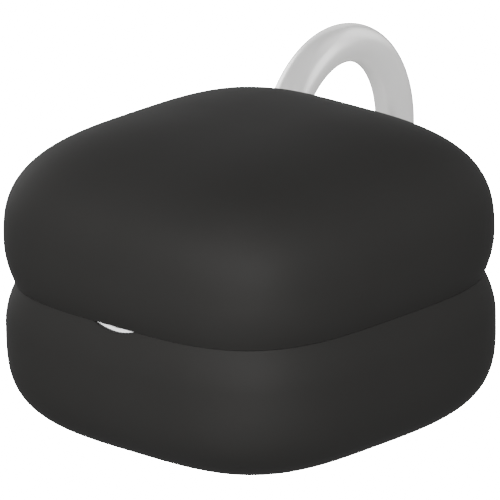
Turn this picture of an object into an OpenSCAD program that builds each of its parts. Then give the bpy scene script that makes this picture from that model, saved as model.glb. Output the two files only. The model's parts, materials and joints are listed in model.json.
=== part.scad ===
/* [Body] */
// Width and depth of the body over its belly
body_w = 70; // [60:1:80]
// Height of the upper lobe above the waist
upper_h = 26.9; // [25:0.1:30]
// Height of the lower lobe below the waist, before its foot is flattened
lower_h = 26.7; // [25:0.1:30]
// How squarish the plan is, as a superellipse exponent
plan_n = 3.48; // [3:0.02:4]
// Width of the waist groove's bottom as a share of the belly's
waist_scale = 0.953; // [0.94:0.001:0.965]
// Height of the upper lobe's widest level above the waist
upper_belly = 7.7; // [7:0.1:9]
// Depth of the lower lobe's widest level below the waist
lower_belly = 7.1; // [7:0.1:9]
// How squarish the upper lobe's side profile is
upper_m = 2.72; // [2.4:0.02:3.2]
// How squarish the lower lobe's side profile is
lower_m = 3.47; // [2.8:0.01:3.8]
// Thickness of the rubber wall
wall = 3.6; // [3:0.1:4]
// Depth of rubber taken off under the lower lobe for the rest face
rest_trim = 0.45; // [0.3:0.05:0.8]

/* [Core] */
// Thickness of the waist plate
plate_t = 4; // [3.8:0.1:4.2]
// Thickness of each lobe's clamped bead
bead_t = 3.2; // [3:0.1:3.6]
// Radius of the air passage through the core
transfer_r = 11; // [8:0.5:12]
// Number of screws that hold the core together
screw_n = 8; // [8:8]
// Radius of the screw shanks
screw_r = 1.25; // [1.1:0.05:1.3]

/* [Air port] */
// Sideways place of the air port on the front face
port_x = 1.1; // [-3:0.1:3]
// Width of the relief dip in the lower rim over the port
dip_w = 9.8; // [8:0.1:11]
// Depth of the relief dip
dip_d = 0.9; // [0.7:0.05:1.2]
// Radius of the needle channel
needle_r = 0.7; // [0.5:0.05:0.7]
// How far the valve poppet opens
valve_travel = 1.2; // [1:0.1:1.4]

/* [Hanging ring] */
// Radius of the ring to the middle of its tube
ring_r = 17.4; // [16:0.1:18]
// Radius of the ring's tube
ring_tube_r = 3.33; // [3.2:0.01:3.4]
// Wall of the ring's tube
ring_wall = 0.9; // [0.7:0.1:1.2]
// Direction that the ring points in from its lug at rest
ring_heading = 98.5; // [80:0.5:120]
// Height of the ring's middle above the waist
ring_up = 3.3; // [3.2:0.1:3.5]

/* [Hidden] */
$fn = 48;

half = body_w / 2;
waist_z = lower_h - rest_trim;
plan_sides = 60;
fit = 0.02;

// Shares of the belly's outline: where each ring-shaped part of the core begins and ends
rebate_s = 0.82;
lip_s = 0.80;
bead_s = 0.70;
land_s = 0.68;
core_s = 0.52;
screw_s = 0.60;

plate_top = plate_t / 2;
lip_z = plate_top + bead_t;
lip_t = 2;
head_t = 1.4;
head_r = 2.1;
insert_r = 1.9;
insert_l = 4;

// The lug stands off the corner, and the ring's tube runs up and down through it
lug_x = -28.2;
lug_y = 36.6;
lug_heading = atan2(lug_y, lug_x);
lug_out = norm([lug_x, lug_y]);
lug_r = 5.8;
lug_bore_r = 4.4;
lug_relief_r = 4.8;
lug_top = 6.8;
bush_bottom = 0.4;
bush_wall = 0.5;
arm_w = 9;
seam_gap = 0.6;
spigot_angle = 24;

// The valve lies along Y, a little above the waist, so that the upper rim hides its channel
valve_up = 0.75;
sleeve_wall = 0.4;
nose_w = 12;
nose_y = -half * waist_scale + 0.45;
boss_r = 3.8;
boss_y = -24.2;
boss_end = -13;
housing_y = -23.6;
housing_r = 2.6;
housing_l = 9.4;
housing_bore_r = 1.75;
seat_t = 2;
seat_y = housing_y + seat_t;
seal_t = 0.4;
poppet_r = 1.5;
poppet_t = 1;
stem_r = 0.6;
spring_coil_r = 1.1;
spring_wire_r = 0.17;
spring_turns = 5;
spring_sides = 8;
spring_steps = 14;
spring_spare = 0.3;
retainer_y = seat_y + seal_t + poppet_t + valve_travel + 2 * spring_wire_r * spring_turns + spring_spare;
retainer_t = 1.2;
clip_t = 0.5;
ring_groove_y = -18.6;
oring_r = 0.42;

// ---- shapes shared by several parts ----

function plan_r(f) = pow(pow(abs(cos(f)), plan_n) + pow(abs(sin(f)), plan_n), -1 / plan_n);

function outline(s) = [
    for (i = [0 : plan_sides - 1])
        let (f = 360 * i / plan_sides) s * half * plan_r(f) * [cos(f), sin(f)]
];

// A level prism of the body's plan at one share of its width
module slab(s, z0, z1) {
    translate([0, 0, z0]) linear_extrude(z1 - z0) polygon(outline(s));
}

// Wall profile of a lobe as [share of width, height]: from the waist out to the belly, and in to the top
function wall_line(belly, h, m, width, low, foot) = concat(
    [for (i = [0 : 3]) let (z = low + (belly - low) * i / 4)
        [width - (1 - waist_scale) * pow((belly - z) / belly, 2), z]],
    [for (i = [0 : 11]) let (u = 90 * i / 12)
        [width * pow(cos(u), 2 / m), min(foot, belly + (h - belly) * pow(sin(u), 2 / m))]]
);

function reversed(list) = [for (i = [len(list) - 1 : -1 : 0]) list[i]];

// A hollow lobe, open at the waist, with a bead turned in over the edge of the plate
module skin(h, belly, m, foot) {
    inner_w = 1 - wall / half;
    rows = concat(
        reversed(wall_line(belly, h, m, 1, 0, foot)),
        [[rebate_s, 0], [rebate_s, plate_top], [bead_s, plate_top], [bead_s, lip_z]],
        wall_line(belly, h - wall, m, inner_w, lip_z, foot - wall)
    );
    n = plan_sides;
    points = concat(
        [[0, 0, foot]],
        [for (row = rows) for (i = [0 : n - 1]) let (f = 360 * i / n)
            [row[0] * half * plan_r(f) * cos(f), row[0] * half * plan_r(f) * sin(f), row[1]]],
        [[0, 0, foot - wall]]
    );
    last = len(points) - 1;
    faces = concat(
        [for (i = [0 : n - 1]) [0, 1 + (i + 1) % n, 1 + i]],
        [for (k = [0 : len(rows) - 2]) for (i = [0 : n - 1]) for (half_face = [0, 1])
            let (a = 1 + k * n + i, b = 1 + k * n + (i + 1) % n)
                half_face == 0 ? [a, b, b + n] : [a, b + n, a + n]],
        [for (i = [0 : n - 1]) let (k = 1 + (len(rows) - 1) * n)
            [last, k + i, k + (i + 1) % n]]
    );
    polyhedron(points, faces, convexity = 6);
}

module at_waist() { translate([0, 0, waist_z]) children(); }

// Places children with their +Z along +Y on the valve's axis, starting at y
module on_valve(y) {
    at_waist() translate([port_x, y, valve_up]) rotate([-90, 0, 0]) children();
}

module tube(outer, bore, length) {
    difference() {
        cylinder(r = outer, h = length);
        translate([0, 0, -1]) cylinder(r = bore, h = length + 2);
    }
}

// Places children at each of the core's screws
module at_screws() {
    for (i = [0 : screw_n - 1]) {
        f = 360 * (i + 0.5) / screw_n;
        r = screw_s * half * plan_r(f);
        translate([r * cos(f), r * sin(f), 0]) children();
    }
}

// Bar from the core to the lug, and the nose that carries the air port
module arm(w, t) {
    rotate([0, 0, lug_heading]) translate([0, -w / 2, -t / 2]) cube([lug_out, w, t]);
}

module nose(grow) {
    translate([port_x - nose_w / 2 - grow, nose_y - grow, -plate_top])
        cube([nose_w + 2 * grow, 12, plate_t]);
}

// ---- the two lobes ----

// What both lobes leave open at the waist for the lug's arm and the port's nose
module waist_openings() {
    rotate([0, 0, lug_heading]) translate([half * rebate_s * 0.9, -arm_w / 2 - fit, -plate_top - fit])
        cube([lug_out, arm_w + 2 * fit, plate_t + 2 * fit]);
    nose(fit);
}

module upper_lobe() {
    color([0.17, 0.17, 0.165]) at_waist() difference() {
        skin(upper_h, upper_belly, upper_m, upper_h);
        waist_openings();
    }
}

module lower_lobe() {
    dip_r = (pow(dip_w / 2, 2) + pow(dip_d, 2)) / (2 * dip_d);
    color([0.16, 0.16, 0.155]) at_waist() difference() {
        mirror([0, 0, 1]) skin(lower_h, lower_belly, lower_m, waist_z);
        waist_openings();
        translate([port_x, -half - 1, dip_r - dip_d]) rotate([-90, 0, 0])
            cylinder(r = dip_r, h = half + 2.2 + nose_y);
    }
}

// ---- the rigid core ----

module waist_plate() {
    color([0.93, 0.94, 0.95]) difference() {
        at_waist() union() {
            slab(rebate_s - 0.005, -plate_top, plate_top);
            arm(arm_w, plate_t);
            nose(0);
            translate([lug_x, lug_y, -plate_top]) cylinder(r = lug_r, h = lug_top + plate_top);
            translate([port_x, boss_y, valve_up]) rotate([-90, 0, 0])
                cylinder(r = boss_r, h = boss_end - boss_y);
        }
        at_waist() {
            translate([0, 0, -10]) cylinder(r = transfer_r, h = 20);
            at_screws() translate([0, 0, -5]) cylinder(r = screw_r + 0.1, h = 10);
            translate([lug_x, lug_y, bush_bottom]) cylinder(r = lug_bore_r, h = 10);
            translate([lug_x, lug_y, -5]) cylinder(r = lug_relief_r, h = 5 + bush_bottom);
        }
        on_valve(nose_y - 1) cylinder(r = needle_r + sleeve_wall, h = housing_y - nose_y + 1.5);
        on_valve(housing_y) cylinder(r = housing_r, h = 20);
    }
}

// Rim over which a lobe's bead is stretched, like a tyre's
module carrier_blank() {
    difference() {
        union() {
            slab(land_s, plate_top, lip_z + lip_t);
            slab(lip_s, lip_z, lip_z + lip_t);
        }
        slab(core_s, 0, lip_z + lip_t + 1);
        translate([port_x - boss_r - 0.3, -half, 0])
            cube([2 * boss_r + 0.6, half, lip_z]);
    }
}

module upper_carrier() {
    color([0.86, 0.87, 0.88]) at_waist() difference() {
        carrier_blank();
        at_screws() {
            cylinder(r = screw_r + 0.1, h = 20);
            translate([0, 0, lip_z + lip_t - head_t]) cylinder(r = head_r + 0.2, h = 5);
        }
    }
}

module lower_carrier() {
    color([0.84, 0.85, 0.86]) at_waist() difference() {
        mirror([0, 0, 1]) carrier_blank();
        at_screws() {
            translate([0, 0, -15]) cylinder(r = screw_r + 0.1, h = 20);
            translate([0, 0, -plate_top - insert_l]) cylinder(r = insert_r, h = 8);
        }
    }
}

module carrier_screws() {
    top = lip_z + lip_t;
    tip = -plate_top - insert_l;
    color([0.72, 0.73, 0.75]) at_waist() at_screws() difference() {
        union() {
            translate([0, 0, top - head_t]) cylinder(r = head_r, h = head_t);
            translate([0, 0, tip]) cylinder(r = screw_r, h = top - head_t - tip);
        }
        translate([0, 0, top - head_t * 0.6]) cylinder(r = screw_r * 0.9, h = 2, $fn = 6);
    }
}

module thread_inserts() {
    color([0.78, 0.63, 0.32]) at_waist() at_screws()
        translate([0, 0, -plate_top - insert_l]) tube(insert_r, screw_r + fit, insert_l);
}

// ---- the air valve ----

module port_sleeve() {
    color([0.30, 0.30, 0.30]) on_valve(nose_y + 1) tube(needle_r + sleeve_wall, needle_r, housing_y - nose_y - 1);
}

module valve_housing() {
    color([0.80, 0.66, 0.36]) difference() {
        on_valve(housing_y) cylinder(r = housing_r - fit, h = housing_l);
        on_valve(seat_y) cylinder(r = housing_bore_r, h = housing_l);
        on_valve(housing_y - 1) cylinder(r = needle_r + 0.2, h = 4);
        on_valve(ring_groove_y - oring_r - 0.05)
            tube(housing_r + 1, housing_r - 2 * oring_r, 2 * oring_r + 0.1);
    }
}

module housing_seal() {
    color([0.10, 0.10, 0.10]) on_valve(ring_groove_y)
        rotate_extrude() translate([housing_r - oring_r - fit, 0]) circle(r = oring_r - fit);
}

module valve_poppet() {
    head_y = seat_y + fit + seal_t;
    color([0.82, 0.70, 0.42]) {
        on_valve(head_y) union() {
            cylinder(r = poppet_r, h = poppet_t);
            cylinder(r = stem_r, h = retainer_y - head_y + retainer_t + 0.3);
        }
    }
}

module poppet_seal() {
    color([0.12, 0.12, 0.12]) on_valve(seat_y + fit) cylinder(r = poppet_r - 0.1, h = seal_t);
}

// Compression spring round the poppet's stem, its end coils resting on the head and the retainer
module valve_spring() {
    start = seat_y + fit + seal_t + poppet_t;
    length = retainer_y - start - 2 * spring_wire_r - 2 * fit;
    steps = spring_turns * spring_steps;
    points = [
        for (i = [0 : steps]) for (j = [0 : spring_sides - 1])
            let (f = 360 * i / spring_steps, g = 360 * j / spring_sides,
                 r = spring_coil_r + spring_wire_r * cos(g))
                [r * cos(f), r * sin(f), length * i / steps + spring_wire_r * sin(g)]
    ];
    n = spring_sides;
    faces = concat(
        [[for (j = [0 : n - 1]) j]],
        [for (i = [0 : steps - 1]) for (j = [0 : n - 1])
            let (a = i * n + j, b = i * n + (j + 1) % n) [a, a + n, b + n, b]],
        [[for (j = [n - 1 : -1 : 0]) steps * n + j]]
    );
    color([0.75, 0.76, 0.78]) on_valve(start + spring_wire_r + fit) polyhedron(points, faces, convexity = 10);
}

module spring_retainer() {
    color([0.88, 0.88, 0.86]) on_valve(retainer_y) difference() {
        cylinder(r = housing_bore_r - fit, h = retainer_t);
        translate([0, 0, -1]) cylinder(r = stem_r + 0.06, h = retainer_t + 2);
        for (f = [0, 120, 240])
            rotate([0, 0, f]) translate([1.2, 0, -1]) cylinder(r = 0.25, h = retainer_t + 2);
    }
}

module retainer_clip() {
    color([0.70, 0.70, 0.72]) on_valve(retainer_y + retainer_t)
        difference() {
            tube(housing_bore_r - fit, 1.15, clip_t);
            translate([0, -0.5, -1]) cube([3, 1, 3]);
        }
}

// ---- the hanging ring ----

module lug_bush() {
    color([0.75, 0.76, 0.78]) at_waist() translate([lug_x, lug_y, bush_bottom])
        tube(lug_bore_r - fit, lug_bore_r - bush_wall, lug_top - bush_bottom);
}

// Places children with +Z along the ring's own axis, and -X towards the lug
module at_ring() {
    at_waist() translate([lug_x, lug_y, ring_up]) rotate([0, 0, ring_heading])
        translate([ring_r, 0, 0]) rotate([90, 0, 0]) children();
}

module hanging_ring() {
    gap = seam_gap / ring_r * 180 / PI;
    color([0.80, 0.80, 0.81]) at_ring() rotate([0, 0, 180 + gap / 2])
        rotate_extrude(angle = 360 - gap, start = 0) translate([ring_r, 0]) difference() {
            circle(r = ring_tube_r);
            circle(r = ring_tube_r - ring_wall);
        }
}

module ring_spigot() {
    color([0.62, 0.63, 0.65]) at_ring() rotate([0, 0, 180 - spigot_angle / 2])
        rotate_extrude(angle = spigot_angle, start = 0)
            translate([ring_r, 0]) circle(r = ring_tube_r - ring_wall - fit);
}

upper_lobe();
lower_lobe();
waist_plate();
upper_carrier();
lower_carrier();
carrier_screws();
thread_inserts();
port_sleeve();
valve_housing();
housing_seal();
valve_poppet();
poppet_seal();
valve_spring();
spring_retainer();
retainer_clip();
lug_bush();
hanging_ring();
ring_spigot();
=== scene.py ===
import json
import math

import bmesh
import bpy
import numpy as np
from mathutils import Matrix, Vector


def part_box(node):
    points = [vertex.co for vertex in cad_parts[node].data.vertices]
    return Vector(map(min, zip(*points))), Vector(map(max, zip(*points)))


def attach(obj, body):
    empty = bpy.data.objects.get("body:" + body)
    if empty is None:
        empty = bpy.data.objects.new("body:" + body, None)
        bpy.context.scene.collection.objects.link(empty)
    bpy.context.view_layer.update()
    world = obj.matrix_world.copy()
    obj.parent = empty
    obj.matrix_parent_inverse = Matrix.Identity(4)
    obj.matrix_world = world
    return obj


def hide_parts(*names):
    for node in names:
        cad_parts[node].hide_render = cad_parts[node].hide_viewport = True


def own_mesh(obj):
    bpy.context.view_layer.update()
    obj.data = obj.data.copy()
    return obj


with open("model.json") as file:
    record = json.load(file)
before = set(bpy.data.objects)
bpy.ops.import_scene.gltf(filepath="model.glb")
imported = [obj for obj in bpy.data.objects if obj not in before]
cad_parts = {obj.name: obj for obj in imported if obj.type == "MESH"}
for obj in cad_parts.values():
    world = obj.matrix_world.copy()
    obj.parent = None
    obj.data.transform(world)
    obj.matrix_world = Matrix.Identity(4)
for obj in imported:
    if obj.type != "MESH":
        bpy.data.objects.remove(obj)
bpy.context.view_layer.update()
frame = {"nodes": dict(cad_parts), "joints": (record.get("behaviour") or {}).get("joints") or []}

# ---- The camera ----
# It looks down a little on one corner of the body from far off, so that the lobes keep their
# true proportions, and it leans very slightly to one side.
MM = 0.001
waist_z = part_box("upper_lobe")[0].z
half_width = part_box("upper_lobe")[1].x
azimuth, elevation, roll = (math.radians(a) for a in (43.9, 18.3, 1.17))
distance = 60 * half_width
view_width = 2.3585 * half_width
aim_above_waist = 0.1217 * half_width


def towards(azimuth, elevation):
    """The direction at an azimuth round from -Y and an elevation above level, both in radians."""
    return Vector((math.sin(azimuth) * math.cos(elevation), -math.cos(azimuth) * math.cos(elevation),
                   math.sin(elevation)))


back = towards(azimuth, elevation)
right = Vector((math.cos(azimuth), math.sin(azimuth), 0))
up = back.cross(right)
leant_right = right * math.cos(roll) - up * math.sin(roll)
leant_up = right * math.sin(roll) + up * math.cos(roll)
aim = Vector((0, 0, waist_z)) + leant_up * aim_above_waist

camera = bpy.data.objects.new("camera", bpy.data.cameras.new("camera"))
bpy.context.collection.objects.link(camera)
bpy.context.scene.camera = camera
camera.data.lens = camera.data.sensor_width * distance / view_width
camera.data.clip_start = 0.1 * distance
camera.data.clip_end = 10 * distance
facing = Matrix((leant_right, leant_up, back)).transposed()
camera.matrix_world = Matrix.Translation(aim + back * distance) @ facing.to_4x4()


# ---- Floor, surround and soft boxes ----
# A pale seamless floor under an even white surround, with large soft boxes round the object. Both
# glow brightly to the camera, so that they show white, and only faintly as light on the object.
class Value:
    """A number in a shader: adding or multiplying makes the Math node."""

    def __init__(self, tree, socket):
        self.tree, self.socket = tree, socket

    def maths(self, operation, first, second):
        """A Math node on two terms, each a value or a plain number."""
        node = self.tree.nodes.new("ShaderNodeMath")
        node.operation = operation
        for slot, term in zip(node.inputs, (first, second)):
            if isinstance(term, Value):
                self.tree.links.new(term.socket, slot)
            else:
                slot.default_value = term
        return Value(self.tree, node.outputs[0])

    def __add__(self, other):
        return self.maths("ADD", self, other)

    def __mul__(self, other):
        return self.maths("MULTIPLY", self, other)

    __radd__ = __add__
    __rmul__ = __mul__


class Finish:
    """A node tree: node() adds a node to it, set() feeds its shader, and wear() puts it on pieces."""

    def __init__(self, name, **constants):
        self.material = bpy.data.materials.new(name)
        self.material.use_nodes = True
        self.tree = self.material.node_tree
        self.surface = self.tree.nodes["Principled BSDF"]
        for socket, value in constants.items():
            self.set(socket.replace("_", " "), value)

    @classmethod
    def of_world(cls, world):
        """The tree of the world round the object, with its Background as the shader."""
        finish = cls.__new__(cls)
        finish.tree = world.node_tree
        finish.surface = world.node_tree.nodes["Background"]
        return finish

    def seen(self, hidden, shown):
        """A glow that is one strength as light, and another where the camera sees it."""
        return hidden + self.node("LightPath", "Is Camera Ray") * (shown - hidden)

    def feed(self, slot, value):
        """Links a value to a socket, or sets it to a number, a colour or a vector."""
        if isinstance(value, Value):
            self.tree.links.new(value.socket, slot)
        elif slot.type == "RGBA":
            slot.default_value = (*value, 1)
        else:
            slot.default_value = value

    def set(self, socket, value):
        """Feeds one of the shader's own sockets, by name."""
        self.feed(self.surface.inputs[socket], value)

    def node(self, kind, out, settings=None, **sockets):
        """Adds a node: its settings first, then its sockets by name, and returns one output."""
        node = self.tree.nodes.new("ShaderNode" + kind)
        for key, value in (settings or {}).items():
            setattr(node, key, value)
        for key, value in sockets.items():
            self.feed(next(s for s in node.inputs if s.name == key and s.enabled), value)
        return Value(self.tree, next(s for s in node.outputs if s.name == out and s.enabled))

    def noise(self, lumps, detail, where=None):
        """Soft noise round 0.5, with so many lumps to the metre, or to a unit of where."""
        where = where or self.node("TexCoord", "Object")
        return self.node("TexNoise", "Fac", Vector=where, Scale=lumps, Detail=detail)

    def between(self, first, second, factor):
        """A colour between two, by a factor from 0 to 1."""
        return self.node("Mix", "Result", {"data_type": "RGBA"}, Factor=factor, A=first, B=second)

    def raised(self, height, depth):
        """Raises the surface by depth metres where height is 1."""
        self.set("Normal", self.node("Bump", "Normal", Height=height, Distance=depth, Strength=1.0))

    def wear(self, *pieces):
        """Puts this finish on each piece, in place of what it had."""
        for piece in pieces:
            piece.data.materials.clear()
            piece.data.materials.append(self.material)


def piece_of(name, points, faces):
    """A smooth-shaded piece of points and faces, at the origin."""
    mesh = bpy.data.meshes.new(name)
    mesh.from_pydata(points.reshape(-1, 3).tolist(), [], faces)
    mesh.polygons.foreach_set("use_smooth", np.ones(len(mesh.polygons), bool))
    mesh.update()
    piece = bpy.data.objects.new(name, mesh)
    bpy.context.collection.objects.link(piece)
    return piece


floor_half = 20.0
floor_corners = floor_half * np.array([[-1, -1, 0], [1, -1, 0], [1, 1, 0], [-1, 1, 0]])
floor = piece_of("floor", floor_corners, [[0, 1, 2, 3]])
seen_glow = 30.0
floor_glow = 0.6
surround_glow = 0.3
floor_finish = Finish("floor", Base_Color=(0, 0, 0), Roughness=0.9, Specular_IOR_Level=0.0,
                      Emission_Color=(1, 1, 1))
floor_finish.set("Emission Strength", floor_finish.seen(floor_glow, seen_glow))
floor_finish.wear(floor)

world = bpy.data.worlds.new("surround")
bpy.context.scene.world = world
world.use_nodes = True
surround = Finish.of_world(world)
surround.set("Color", (1, 1, 1))
surround.set("Strength", surround.seen(surround_glow, seen_glow))


box_side = 350 * MM
box_reach = 600 * MM


def soft_box(name, round_from, above, power):
    """A square light facing the body's middle, at degrees round from -Y and above level."""
    direction = towards(math.radians(round_from), math.radians(above))
    light = bpy.data.lights.new(name, "AREA")
    light.shape, light.size, light.energy = "SQUARE", box_side, power
    lamp = bpy.data.objects.new(name, light)
    bpy.context.collection.objects.link(lamp)
    lamp.rotation_mode = "QUATERNION"
    lamp.rotation_quaternion = (-direction).to_track_quat("-Z", "Y")
    lamp.location = Vector((0, 0, waist_z)) + direction * box_reach


soft_box("front_box", round_from=44, above=18, power=7.4)
soft_box("left_box", round_from=-16, above=30, power=2.6)
soft_box("right_box", round_from=134, above=18, power=0.8)
soft_box("right_high_box", round_from=164, above=45, power=0.2)
soft_box("right_back_box", round_from=179, above=18, power=0.57)
soft_box("back_box", round_from=224, above=18, power=0.45)
soft_box("left_back_box", round_from=262, above=12, power=1.5)


# ---- The two lobes ----
# Thick skins of moulded charcoal rubber, blown out by the air inside them like two cushions.
# Each one's rim turns in at the waist to a bead, which is stretched over the core's rim.
plan_power = 3.48
waist_share = 0.953
wall = 3.6 * MM
rebate_share, bead_share = 0.82, 0.70
rebate_ease = 0.002
plate_half = 2.0 * MM
bead_top = 5.2 * MM
rim_round = 0.12 * MM
rim_turns = np.radians((20, 40, 60, 75, 90))
hairline = 0.008 * MM
foot_soft = 0.06 * MM
nose_half, nose_share = 6.15 * MM, 0.9395
dip_width = 9.8 * MM
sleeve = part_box("port_sleeve")
port_x = (sleeve[0].x + sleeve[1].x) / 2
port_angle = math.atan2(-half_width, port_x)
arm_half = 4.6 * MM
corner_share = 1.1
opening_edge = 0.4 * MM
arm_room = 0.1 * MM
columns = 576
dome_rows, side_rows, bead_rows, inner_rows = 64, 18, 6, 20


def joint(name):
    """One of the frame's joints, by its name."""
    return next(j for j in frame["joints"] if j["name"] == name)


lug = Vector(joint("ring_swivel")["pos_m"])


def plan_reach(angle):
    """Superellipse of half width 1: the radius r where |r cos|^n + |r sin|^n = 1."""
    total = np.abs(np.cos(angle)) ** plan_power + np.abs(np.sin(angle)) ** plan_power
    return total ** (-1 / plan_power)


def waist_curve(z, belly):
    """Share of the full width below the belly: a parabola in to the waist's share."""
    return 1 - (1 - waist_share) * ((belly - z) / belly) ** 2


def dome(belly, height, power, rows, foot):
    """Share and height over the belly: share^m + rise^m = 1, its top cut softly at the foot's level."""
    turn = np.linspace(0, math.pi / 2, rows + 1)[:-1]
    z = belly + (height - belly) * np.sin(turn) ** (2 / power)
    if foot < height:
        z = (z + foot - np.sqrt((z - foot) ** 2 + foot_soft ** 2)) / 2
    return np.cos(turn) ** (2 / power), z


def away_from(angle, centre):
    """How far round each angle is from a direction, from -pi to pi."""
    return (angle - centre + math.pi) % (2 * math.pi) - math.pi


def plateau(away, half_span, edge):
    """1 within half_span of 0, 0 beyond edge more, and a smooth step 3t^2 - 2t^3 between."""
    t = np.clip((half_span + edge - np.abs(away)) / edge, 0, 1)
    return t * t * (3 - 2 * t)


def tube_faces(rows, sides, closed_ends=False):
    """Quads between rows of a grid whose columns close on themselves, and whose rows may too."""
    last = rows if closed_ends else rows - 1
    i, j = np.meshgrid(np.arange(last), np.arange(sides), indexing="ij")
    k, down = (j + 1) % sides, (i + 1) % rows
    corners = [i * sides + j, i * sides + k, down * sides + k, down * sides + j]
    return np.stack(corners, -1).reshape(-1, 4).tolist()


def lobe(name, belly, height, power, foot, side, dip):
    """A closed skin. Its rows run from the pole over the belly, round the rim and back up inside.

    side is 1 for the lobe above the waist and -1 for the one below. foot is how far from the
    waist its dome is cut flat, or infinity where it isn't. dip is how far its rim sinks over the
    air port, along the arc of a circle through the dip's two ends.
    """
    angle = np.linspace(0, 2 * math.pi, columns, endpoint=False)
    beside_arm = away_from(angle, math.atan2(lug.y, lug.x)) * half_width * corner_share
    arm = plateau(beside_arm, arm_half, opening_edge)
    across = np.tan(np.clip(away_from(angle, -math.pi / 2), -1, 1)) * half_width - port_x
    nose = plateau(across, nose_half, opening_edge) * (np.abs(away_from(angle, port_angle)) < 1)
    arc = (dip_width ** 2 / 4 + dip ** 2) / (2 * dip) if dip else 1
    sunk = np.maximum(dip - arc + np.sqrt(np.maximum(arc ** 2 - across ** 2, 0)), 0)
    sunk = np.where(np.abs(across) < dip_width, sunk, 0)
    slot = arm * (plate_half + arm_room)
    lift = hairline + np.maximum(slot, sunk)
    inside_lift = np.maximum(lift, plate_half + hairline)

    even = np.ones(columns)
    share, z = dome(belly, height, power, dome_rows, foot)
    rows = [(s * even, level * even) for s, level in zip(share[::-1], z[::-1])]
    for down in np.linspace(1, 0, side_rows)[1:]:
        level = lift + rim_round + (belly - lift - rim_round) * down
        rows.append((waist_curve(level, belly), level))
    rim = rows[-1][0]
    for turn in rim_turns:
        rows.append((rim - rim_round / half_width * (1 - math.cos(turn)),
                     lift + rim_round * (1 - math.sin(turn))))
    rebate = rebate_share + (nose_share - rebate_share) * nose
    flat_lift = hairline + np.maximum(slot, np.minimum(sunk, plate_half))
    rows += [(rebate + rebate_ease, flat_lift), (rebate, flat_lift), (rebate, inside_lift),
             (bead_share * even, inside_lift), (bead_share * even, (bead_top - hairline) * even)]
    for level in np.linspace(bead_top - hairline, belly, bead_rows)[:-1]:
        rows.append(((waist_curve(level, belly) - wall / half_width) * even, level * even))
    share, z = dome(belly, height - wall, power, inner_rows, min(foot, height) - wall)
    rows += [((1 - wall / half_width) * s * even, level * even) for s, level in zip(share, z)]

    shares, levels = (np.array(part) for part in zip(*rows))
    reach = shares * half_width * plan_reach(angle)
    points = np.stack([reach * np.cos(angle), reach * np.sin(angle), waist_z + side * levels], -1)
    pole = min(foot, height)
    poles = [[0, 0, waist_z + side * pole], [0, 0, waist_z + side * (pole - wall)]]
    first = len(rows) * columns
    ends = np.arange(columns)
    after = (ends + 1) % columns
    bottom = (len(rows) - 1) * columns
    fans = [[first, int(a), int(b)] for a, b in zip(ends, after)]
    fans += [[first + 1, bottom + int(b), bottom + int(a)] for a, b in zip(ends, after)]
    faces = [face[::-1] for face in tube_faces(len(rows), columns)] + fans
    faces = faces if side > 0 else [face[::-1] for face in faces]
    return piece_of(name, np.concatenate([points.reshape(-1, 3), poles]), faces)


upper_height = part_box("upper_lobe")[1].z - waist_z
foot_cut = 0.45 * MM
upper_skin = lobe("upper_skin", belly=7.7 * MM, height=upper_height, power=2.72, foot=math.inf,
                  side=1, dip=0)
lower_skin = lobe("lower_skin", belly=7.1 * MM, height=waist_z + foot_cut, power=3.47, foot=waist_z,
                  side=-1, dip=0.9 * MM)

rubber = Finish("lobe_rubber", Specular_IOR_Level=0.1)
clouds = rubber.noise(lumps=90, detail=3)
charcoal, pale_charcoal = (0.0128, 0.0124, 0.0118), (0.0146, 0.0142, 0.0136)
rubber.set("Base Color", rubber.between(charcoal, pale_charcoal, clouds))
rubber.set("Roughness", 0.65 + clouds * 0.08)
rubber.raised(rubber.noise(lumps=5200, detail=1), depth=0.004 * MM)
rubber.wear(upper_skin, lower_skin)

for piece, node in ((upper_skin, "upper_lobe"), (lower_skin, "lower_lobe")):
    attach(piece, "ball")
    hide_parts(node)


# ---- The waist plate ----
# One white acetal moulding: the plate between the lobes, its nose behind the air port, and the
# arm that carries the lug. Its corners are eased as the mould leaves them.
merge_reach = 0.001 * MM
flat_angle, corner_angle = math.radians(0.5), math.radians(35)
ease_segments = 3


def eased(name, node, width):
    """A copy of a CAD part with its doubles merged, its flats joined up and its corners bevelled."""
    work = bmesh.new()
    work.from_mesh(frame["nodes"][node].data)
    bmesh.ops.remove_doubles(work, verts=work.verts, dist=merge_reach)
    bmesh.ops.dissolve_limit(work, angle_limit=flat_angle, verts=work.verts, edges=work.edges)
    mesh = bpy.data.meshes.new(name)
    work.to_mesh(mesh)
    work.free()
    mesh.polygons.foreach_set("use_smooth", np.ones(len(mesh.polygons), bool))
    piece = bpy.data.objects.new(name, mesh)
    bpy.context.collection.objects.link(piece)
    bevel = piece.modifiers.new("eased", "BEVEL")
    bevel.width, bevel.segments, bevel.limit_method = width, ease_segments, "ANGLE"
    bevel.angle_limit, bevel.harden_normals = corner_angle, True
    return piece


waist_core = eased("waist_core", "waist_plate", width=0.35 * MM)
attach(waist_core, "ball")
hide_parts("waist_plate")

white = Finish("white_core")
flow = white.noise(lumps=60, detail=3)
white.set("Base Color", white.between((0.90, 0.905, 0.915), (0.95, 0.955, 0.965), flow))
white.set("Roughness", 0.30 + flow * 0.14)
white.raised(white.noise(lumps=3200, detail=1), depth=0.003 * MM)
white.wear(waist_core, frame["nodes"]["spring_retainer"])


# ---- The two carriers ----
# Grey glass-filled nylon rims, moulded. Each holds one lobe's bead against the plate, as a wheel
# holds a tyre's, and eight screws draw the two together through the plate.
nylon = Finish("grey_core")
fibre = nylon.noise(lumps=700, detail=4)
nylon.set("Base Color", nylon.between((0.62, 0.63, 0.64), (0.72, 0.73, 0.74), fibre))
nylon.set("Roughness", 0.48 + fibre * 0.16)
nylon.raised(fibre, depth=0.02 * MM)
nylon.wear(frame["nodes"]["upper_carrier"], frame["nodes"]["lower_carrier"])


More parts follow.
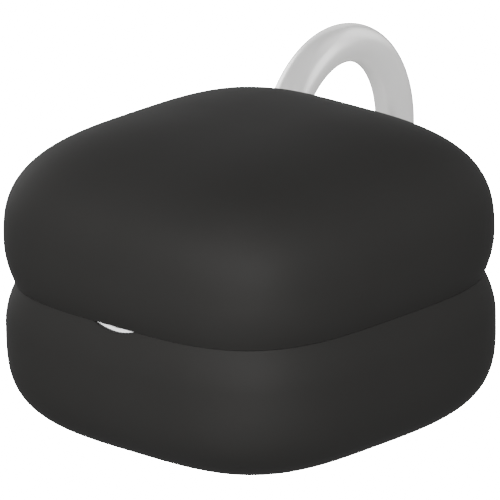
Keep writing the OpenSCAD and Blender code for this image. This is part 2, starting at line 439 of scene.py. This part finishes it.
# ---- Screws, spring, clip and plug ----
# Plated steel, turned, wound or stamped: the socket screws, the valve's return spring and its
# snap clip, and the plug inside the ring's tube.
spring_low, spring_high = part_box("valve_spring")
spring_length = spring_high.y - spring_low.y
spring_wire = 0.17 * MM
spring_turns = 5
steps_a_turn, wire_sides = 24, 12


def coil_spring(name, low, high, wire, turns):
    """A round wire on a helix along Y: the winding's radius and pitch fill the box low to high."""
    along = np.linspace(0, 1, steps_a_turn * turns + 1)[:, None]
    section = np.linspace(0, 2 * math.pi, wire_sides, endpoint=False)
    middle = (low + high) / 2
    winding = (high.z - low.z) / 2 - wire
    swing = 2 * math.pi * turns * along
    reach = winding + wire * np.cos(section)
    rise = low.y + wire + (high.y - low.y - 2 * wire) * along + wire * np.sin(section)
    points = np.stack([middle.x + reach * np.cos(swing), rise, middle.z - reach * np.sin(swing)], -1)
    last = (len(points) - 1) * wire_sides
    caps = [list(range(wire_sides)), list(range(last, last + wire_sides))[::-1]]
    faces = [face[::-1] for face in tube_faces(len(points), wire_sides)] + caps
    return piece_of(name, points, faces)


spring = coil_spring("return_spring", spring_low, spring_high, spring_wire, spring_turns)
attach(spring, "ball")
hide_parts("valve_spring")
1 - joint("valve_press")["range_m"][1] / spring_length
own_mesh(spring)

steel = Finish("steel", Metallic=1.0)
drawn = steel.noise(lumps=1600, detail=3)
steel.set("Base Color", steel.between((0.58, 0.59, 0.60), (0.68, 0.69, 0.70), drawn))
steel.set("Roughness", 0.24 + drawn * 0.16)
steel.raised(drawn, depth=0.006 * MM)
steel.wear(spring)
steel.wear(*(frame["nodes"][node] for node in ("carrier_screws", "retainer_clip", "ring_spigot")))


# ---- Threaded inserts, valve housing and poppet ----
# Turned brass. The inserts are heated into the lower carrier, and the housing is pressed into
# the plate's boss behind the port.
brass = Finish("brass", Metallic=1.0)
tarnish = brass.noise(lumps=420, detail=4)
brass.set("Base Color", brass.between((0.60, 0.44, 0.19), (0.76, 0.58, 0.28), tarnish))
brass.set("Roughness", 0.26 + tarnish * 0.20)
brass.raised(brass.noise(lumps=2600, detail=2), depth=0.004 * MM)
brass.wear(*(frame["nodes"][node] for node in ("thread_inserts", "valve_housing", "valve_poppet")))


# ---- Port sleeve and seals ----
# Black nitrile rubber: the sleeve that the inflating needle is pushed through, the housing's
# O-ring and the poppet's flat seal.
seal = Finish("seal_rubber", Specular_IOR_Level=0.35)
bloom = seal.noise(lumps=900, detail=3)
seal.set("Base Color", seal.between((0.012, 0.012, 0.012), (0.030, 0.030, 0.030), bloom))
seal.set("Roughness", 0.52 + bloom * 0.16)
seal.raised(bloom, depth=0.008 * MM)
seal.wear(*(frame["nodes"][node] for node in ("port_sleeve", "housing_seal", "poppet_seal")))


# ---- The lug's bush ----
# A thin steel bush pressed into the lug, with its upper edge rolled over, so that the ring's
# tube turns and slides on metal.
bush_low, bush_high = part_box("lug_bush")
bush_outside = (bush_high.x - bush_low.x) / 2
bush_inside = bush_outside - 0.48 * MM
lip_reach, lip_thick, lip_round = 0.75 * MM, 0.28 * MM, 0.14 * MM
fold_steps, throat_steps = 7, 6
turned_sides = 96


def turned(name, axis_point, profile):
    """A profile of (radius, height) points, closed on itself and carried round a vertical axis."""
    turn = np.linspace(0, 2 * math.pi, turned_sides, endpoint=False)
    radius, height = np.array(profile).T[:, :, None]
    points = np.stack([axis_point.x + radius * np.cos(turn), axis_point.y + radius * np.sin(turn),
                       height + 0 * turn], -1)
    return piece_of(name, points, tube_faces(len(profile), turned_sides, closed_ends=True))


barrel = [(bush_inside, bush_low.z), (bush_outside, bush_low.z), (bush_outside, bush_high.z)]
lip_edge = [(bush_outside + lip_reach - lip_round + lip_round * math.cos(a),
             bush_high.z + lip_thick / 2 + lip_round * math.sin(a))
            for a in np.radians(np.linspace(-90, 90, fold_steps))]
throat = [(bush_inside + lip_thick * (1 - math.sin(a)), bush_high.z + lip_thick * math.cos(a))
          for a in np.radians(np.linspace(0, 90, throat_steps))]
bush = turned("bush", lug, barrel + lip_edge + throat)
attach(bush, "ball")
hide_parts("lug_bush")
steel.wear(bush)


# ---- The hanging ring ----
# Bright satin metal tube bent to a circle, its two ends butted inside the lug over a short plug.
# Brushing runs along the tube in long faint streaks.
ring_low, ring_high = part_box("hanging_ring")
ring_centre = (ring_low + ring_high) / 2
ring_centre.z = lug.z
ring_radius = (ring_centre - lug).length
ring_thick = (ring_high.z - ring_low.z) / 2 - ring_radius
ring_wall = 0.9 * MM
butt_gap = 0.6 * MM
end_ease = 0.25 * MM
end_curl = np.radians((22.5, 45, 67.5, 90))
ring_steps, ring_sides = 289, 64
inward = (lug - ring_centre).normalized()
ring_axis = inward.cross(Vector((0, 0, 1)))


def ring_tube(name, centre, inward, axis, radius, tube, bore, gap):
    """A hollow torus cut by a gap: the path runs round outside, over one end, and back inside.

    Its attribute lie holds the cosine and sine of the turn round the tube, and the length along
    it as a number of tube radii.
    """
    half_gap = gap / 2 / radius
    ease = end_ease / radius
    whole = 2 * math.pi
    out = np.linspace(half_gap + ease, whole - half_gap - ease, ring_steps)
    end = out[-1] + ease * np.sin(end_curl)
    lip = tube - end_ease * (1 - np.cos(end_curl))
    path = np.concatenate([out, end, end[-1:], out[::-1], whole - end[-1:], (whole - end)[::-1]])
    thick = np.concatenate([tube + 0 * out, lip, [bore], bore + 0 * out, [bore], lip[::-1]])
    turn = np.linspace(0, whole, ring_sides, endpoint=False)
    reach = radius + thick[:, None] * np.cos(turn)
    upward = np.array(Vector(axis).cross(inward))
    points = (np.array(centre) + (reach * np.cos(path)[:, None])[..., None] * np.array(inward)
              + (reach * np.sin(path)[:, None])[..., None] * upward
              + (thick[:, None] * np.sin(turn))[..., None] * np.array(axis))
    piece = piece_of(name, points, tube_faces(len(path), ring_sides, closed_ends=True))
    run = (path * radius / tube)[:, None]
    place = np.stack(np.broadcast_arrays(np.cos(turn), np.sin(turn), run), -1)
    lie = piece.data.attributes.new("lie", "FLOAT_VECTOR", "POINT")
    lie.data.foreach_set("vector", place.astype(np.float32).ravel())
    return piece


ring = ring_tube("ring", ring_centre, inward, ring_axis, ring_radius, ring_thick,
                 ring_thick - ring_wall, butt_gap)
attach(ring, "ring")
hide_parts("hanging_ring")

satin = Finish("ring_finish", Metallic=0.62)
lie = satin.node("Attribute", "Vector", {"attribute_name": "lie"})
stretch = satin.node("Mapping", "Vector", Vector=lie, Scale=(7, 7, 0.6))
streaks = satin.noise(lumps=1, detail=3, where=stretch)
haze = satin.noise(lumps=140, detail=2)
satin.set("Base Color", satin.between((0.95, 0.94, 0.925), (0.99, 0.985, 0.975), haze))
satin.set("Roughness", 0.24 + streaks * 0.1 + haze * 0.08)
satin.raised(streaks, depth=0.012 * MM)
satin.wear(ring)
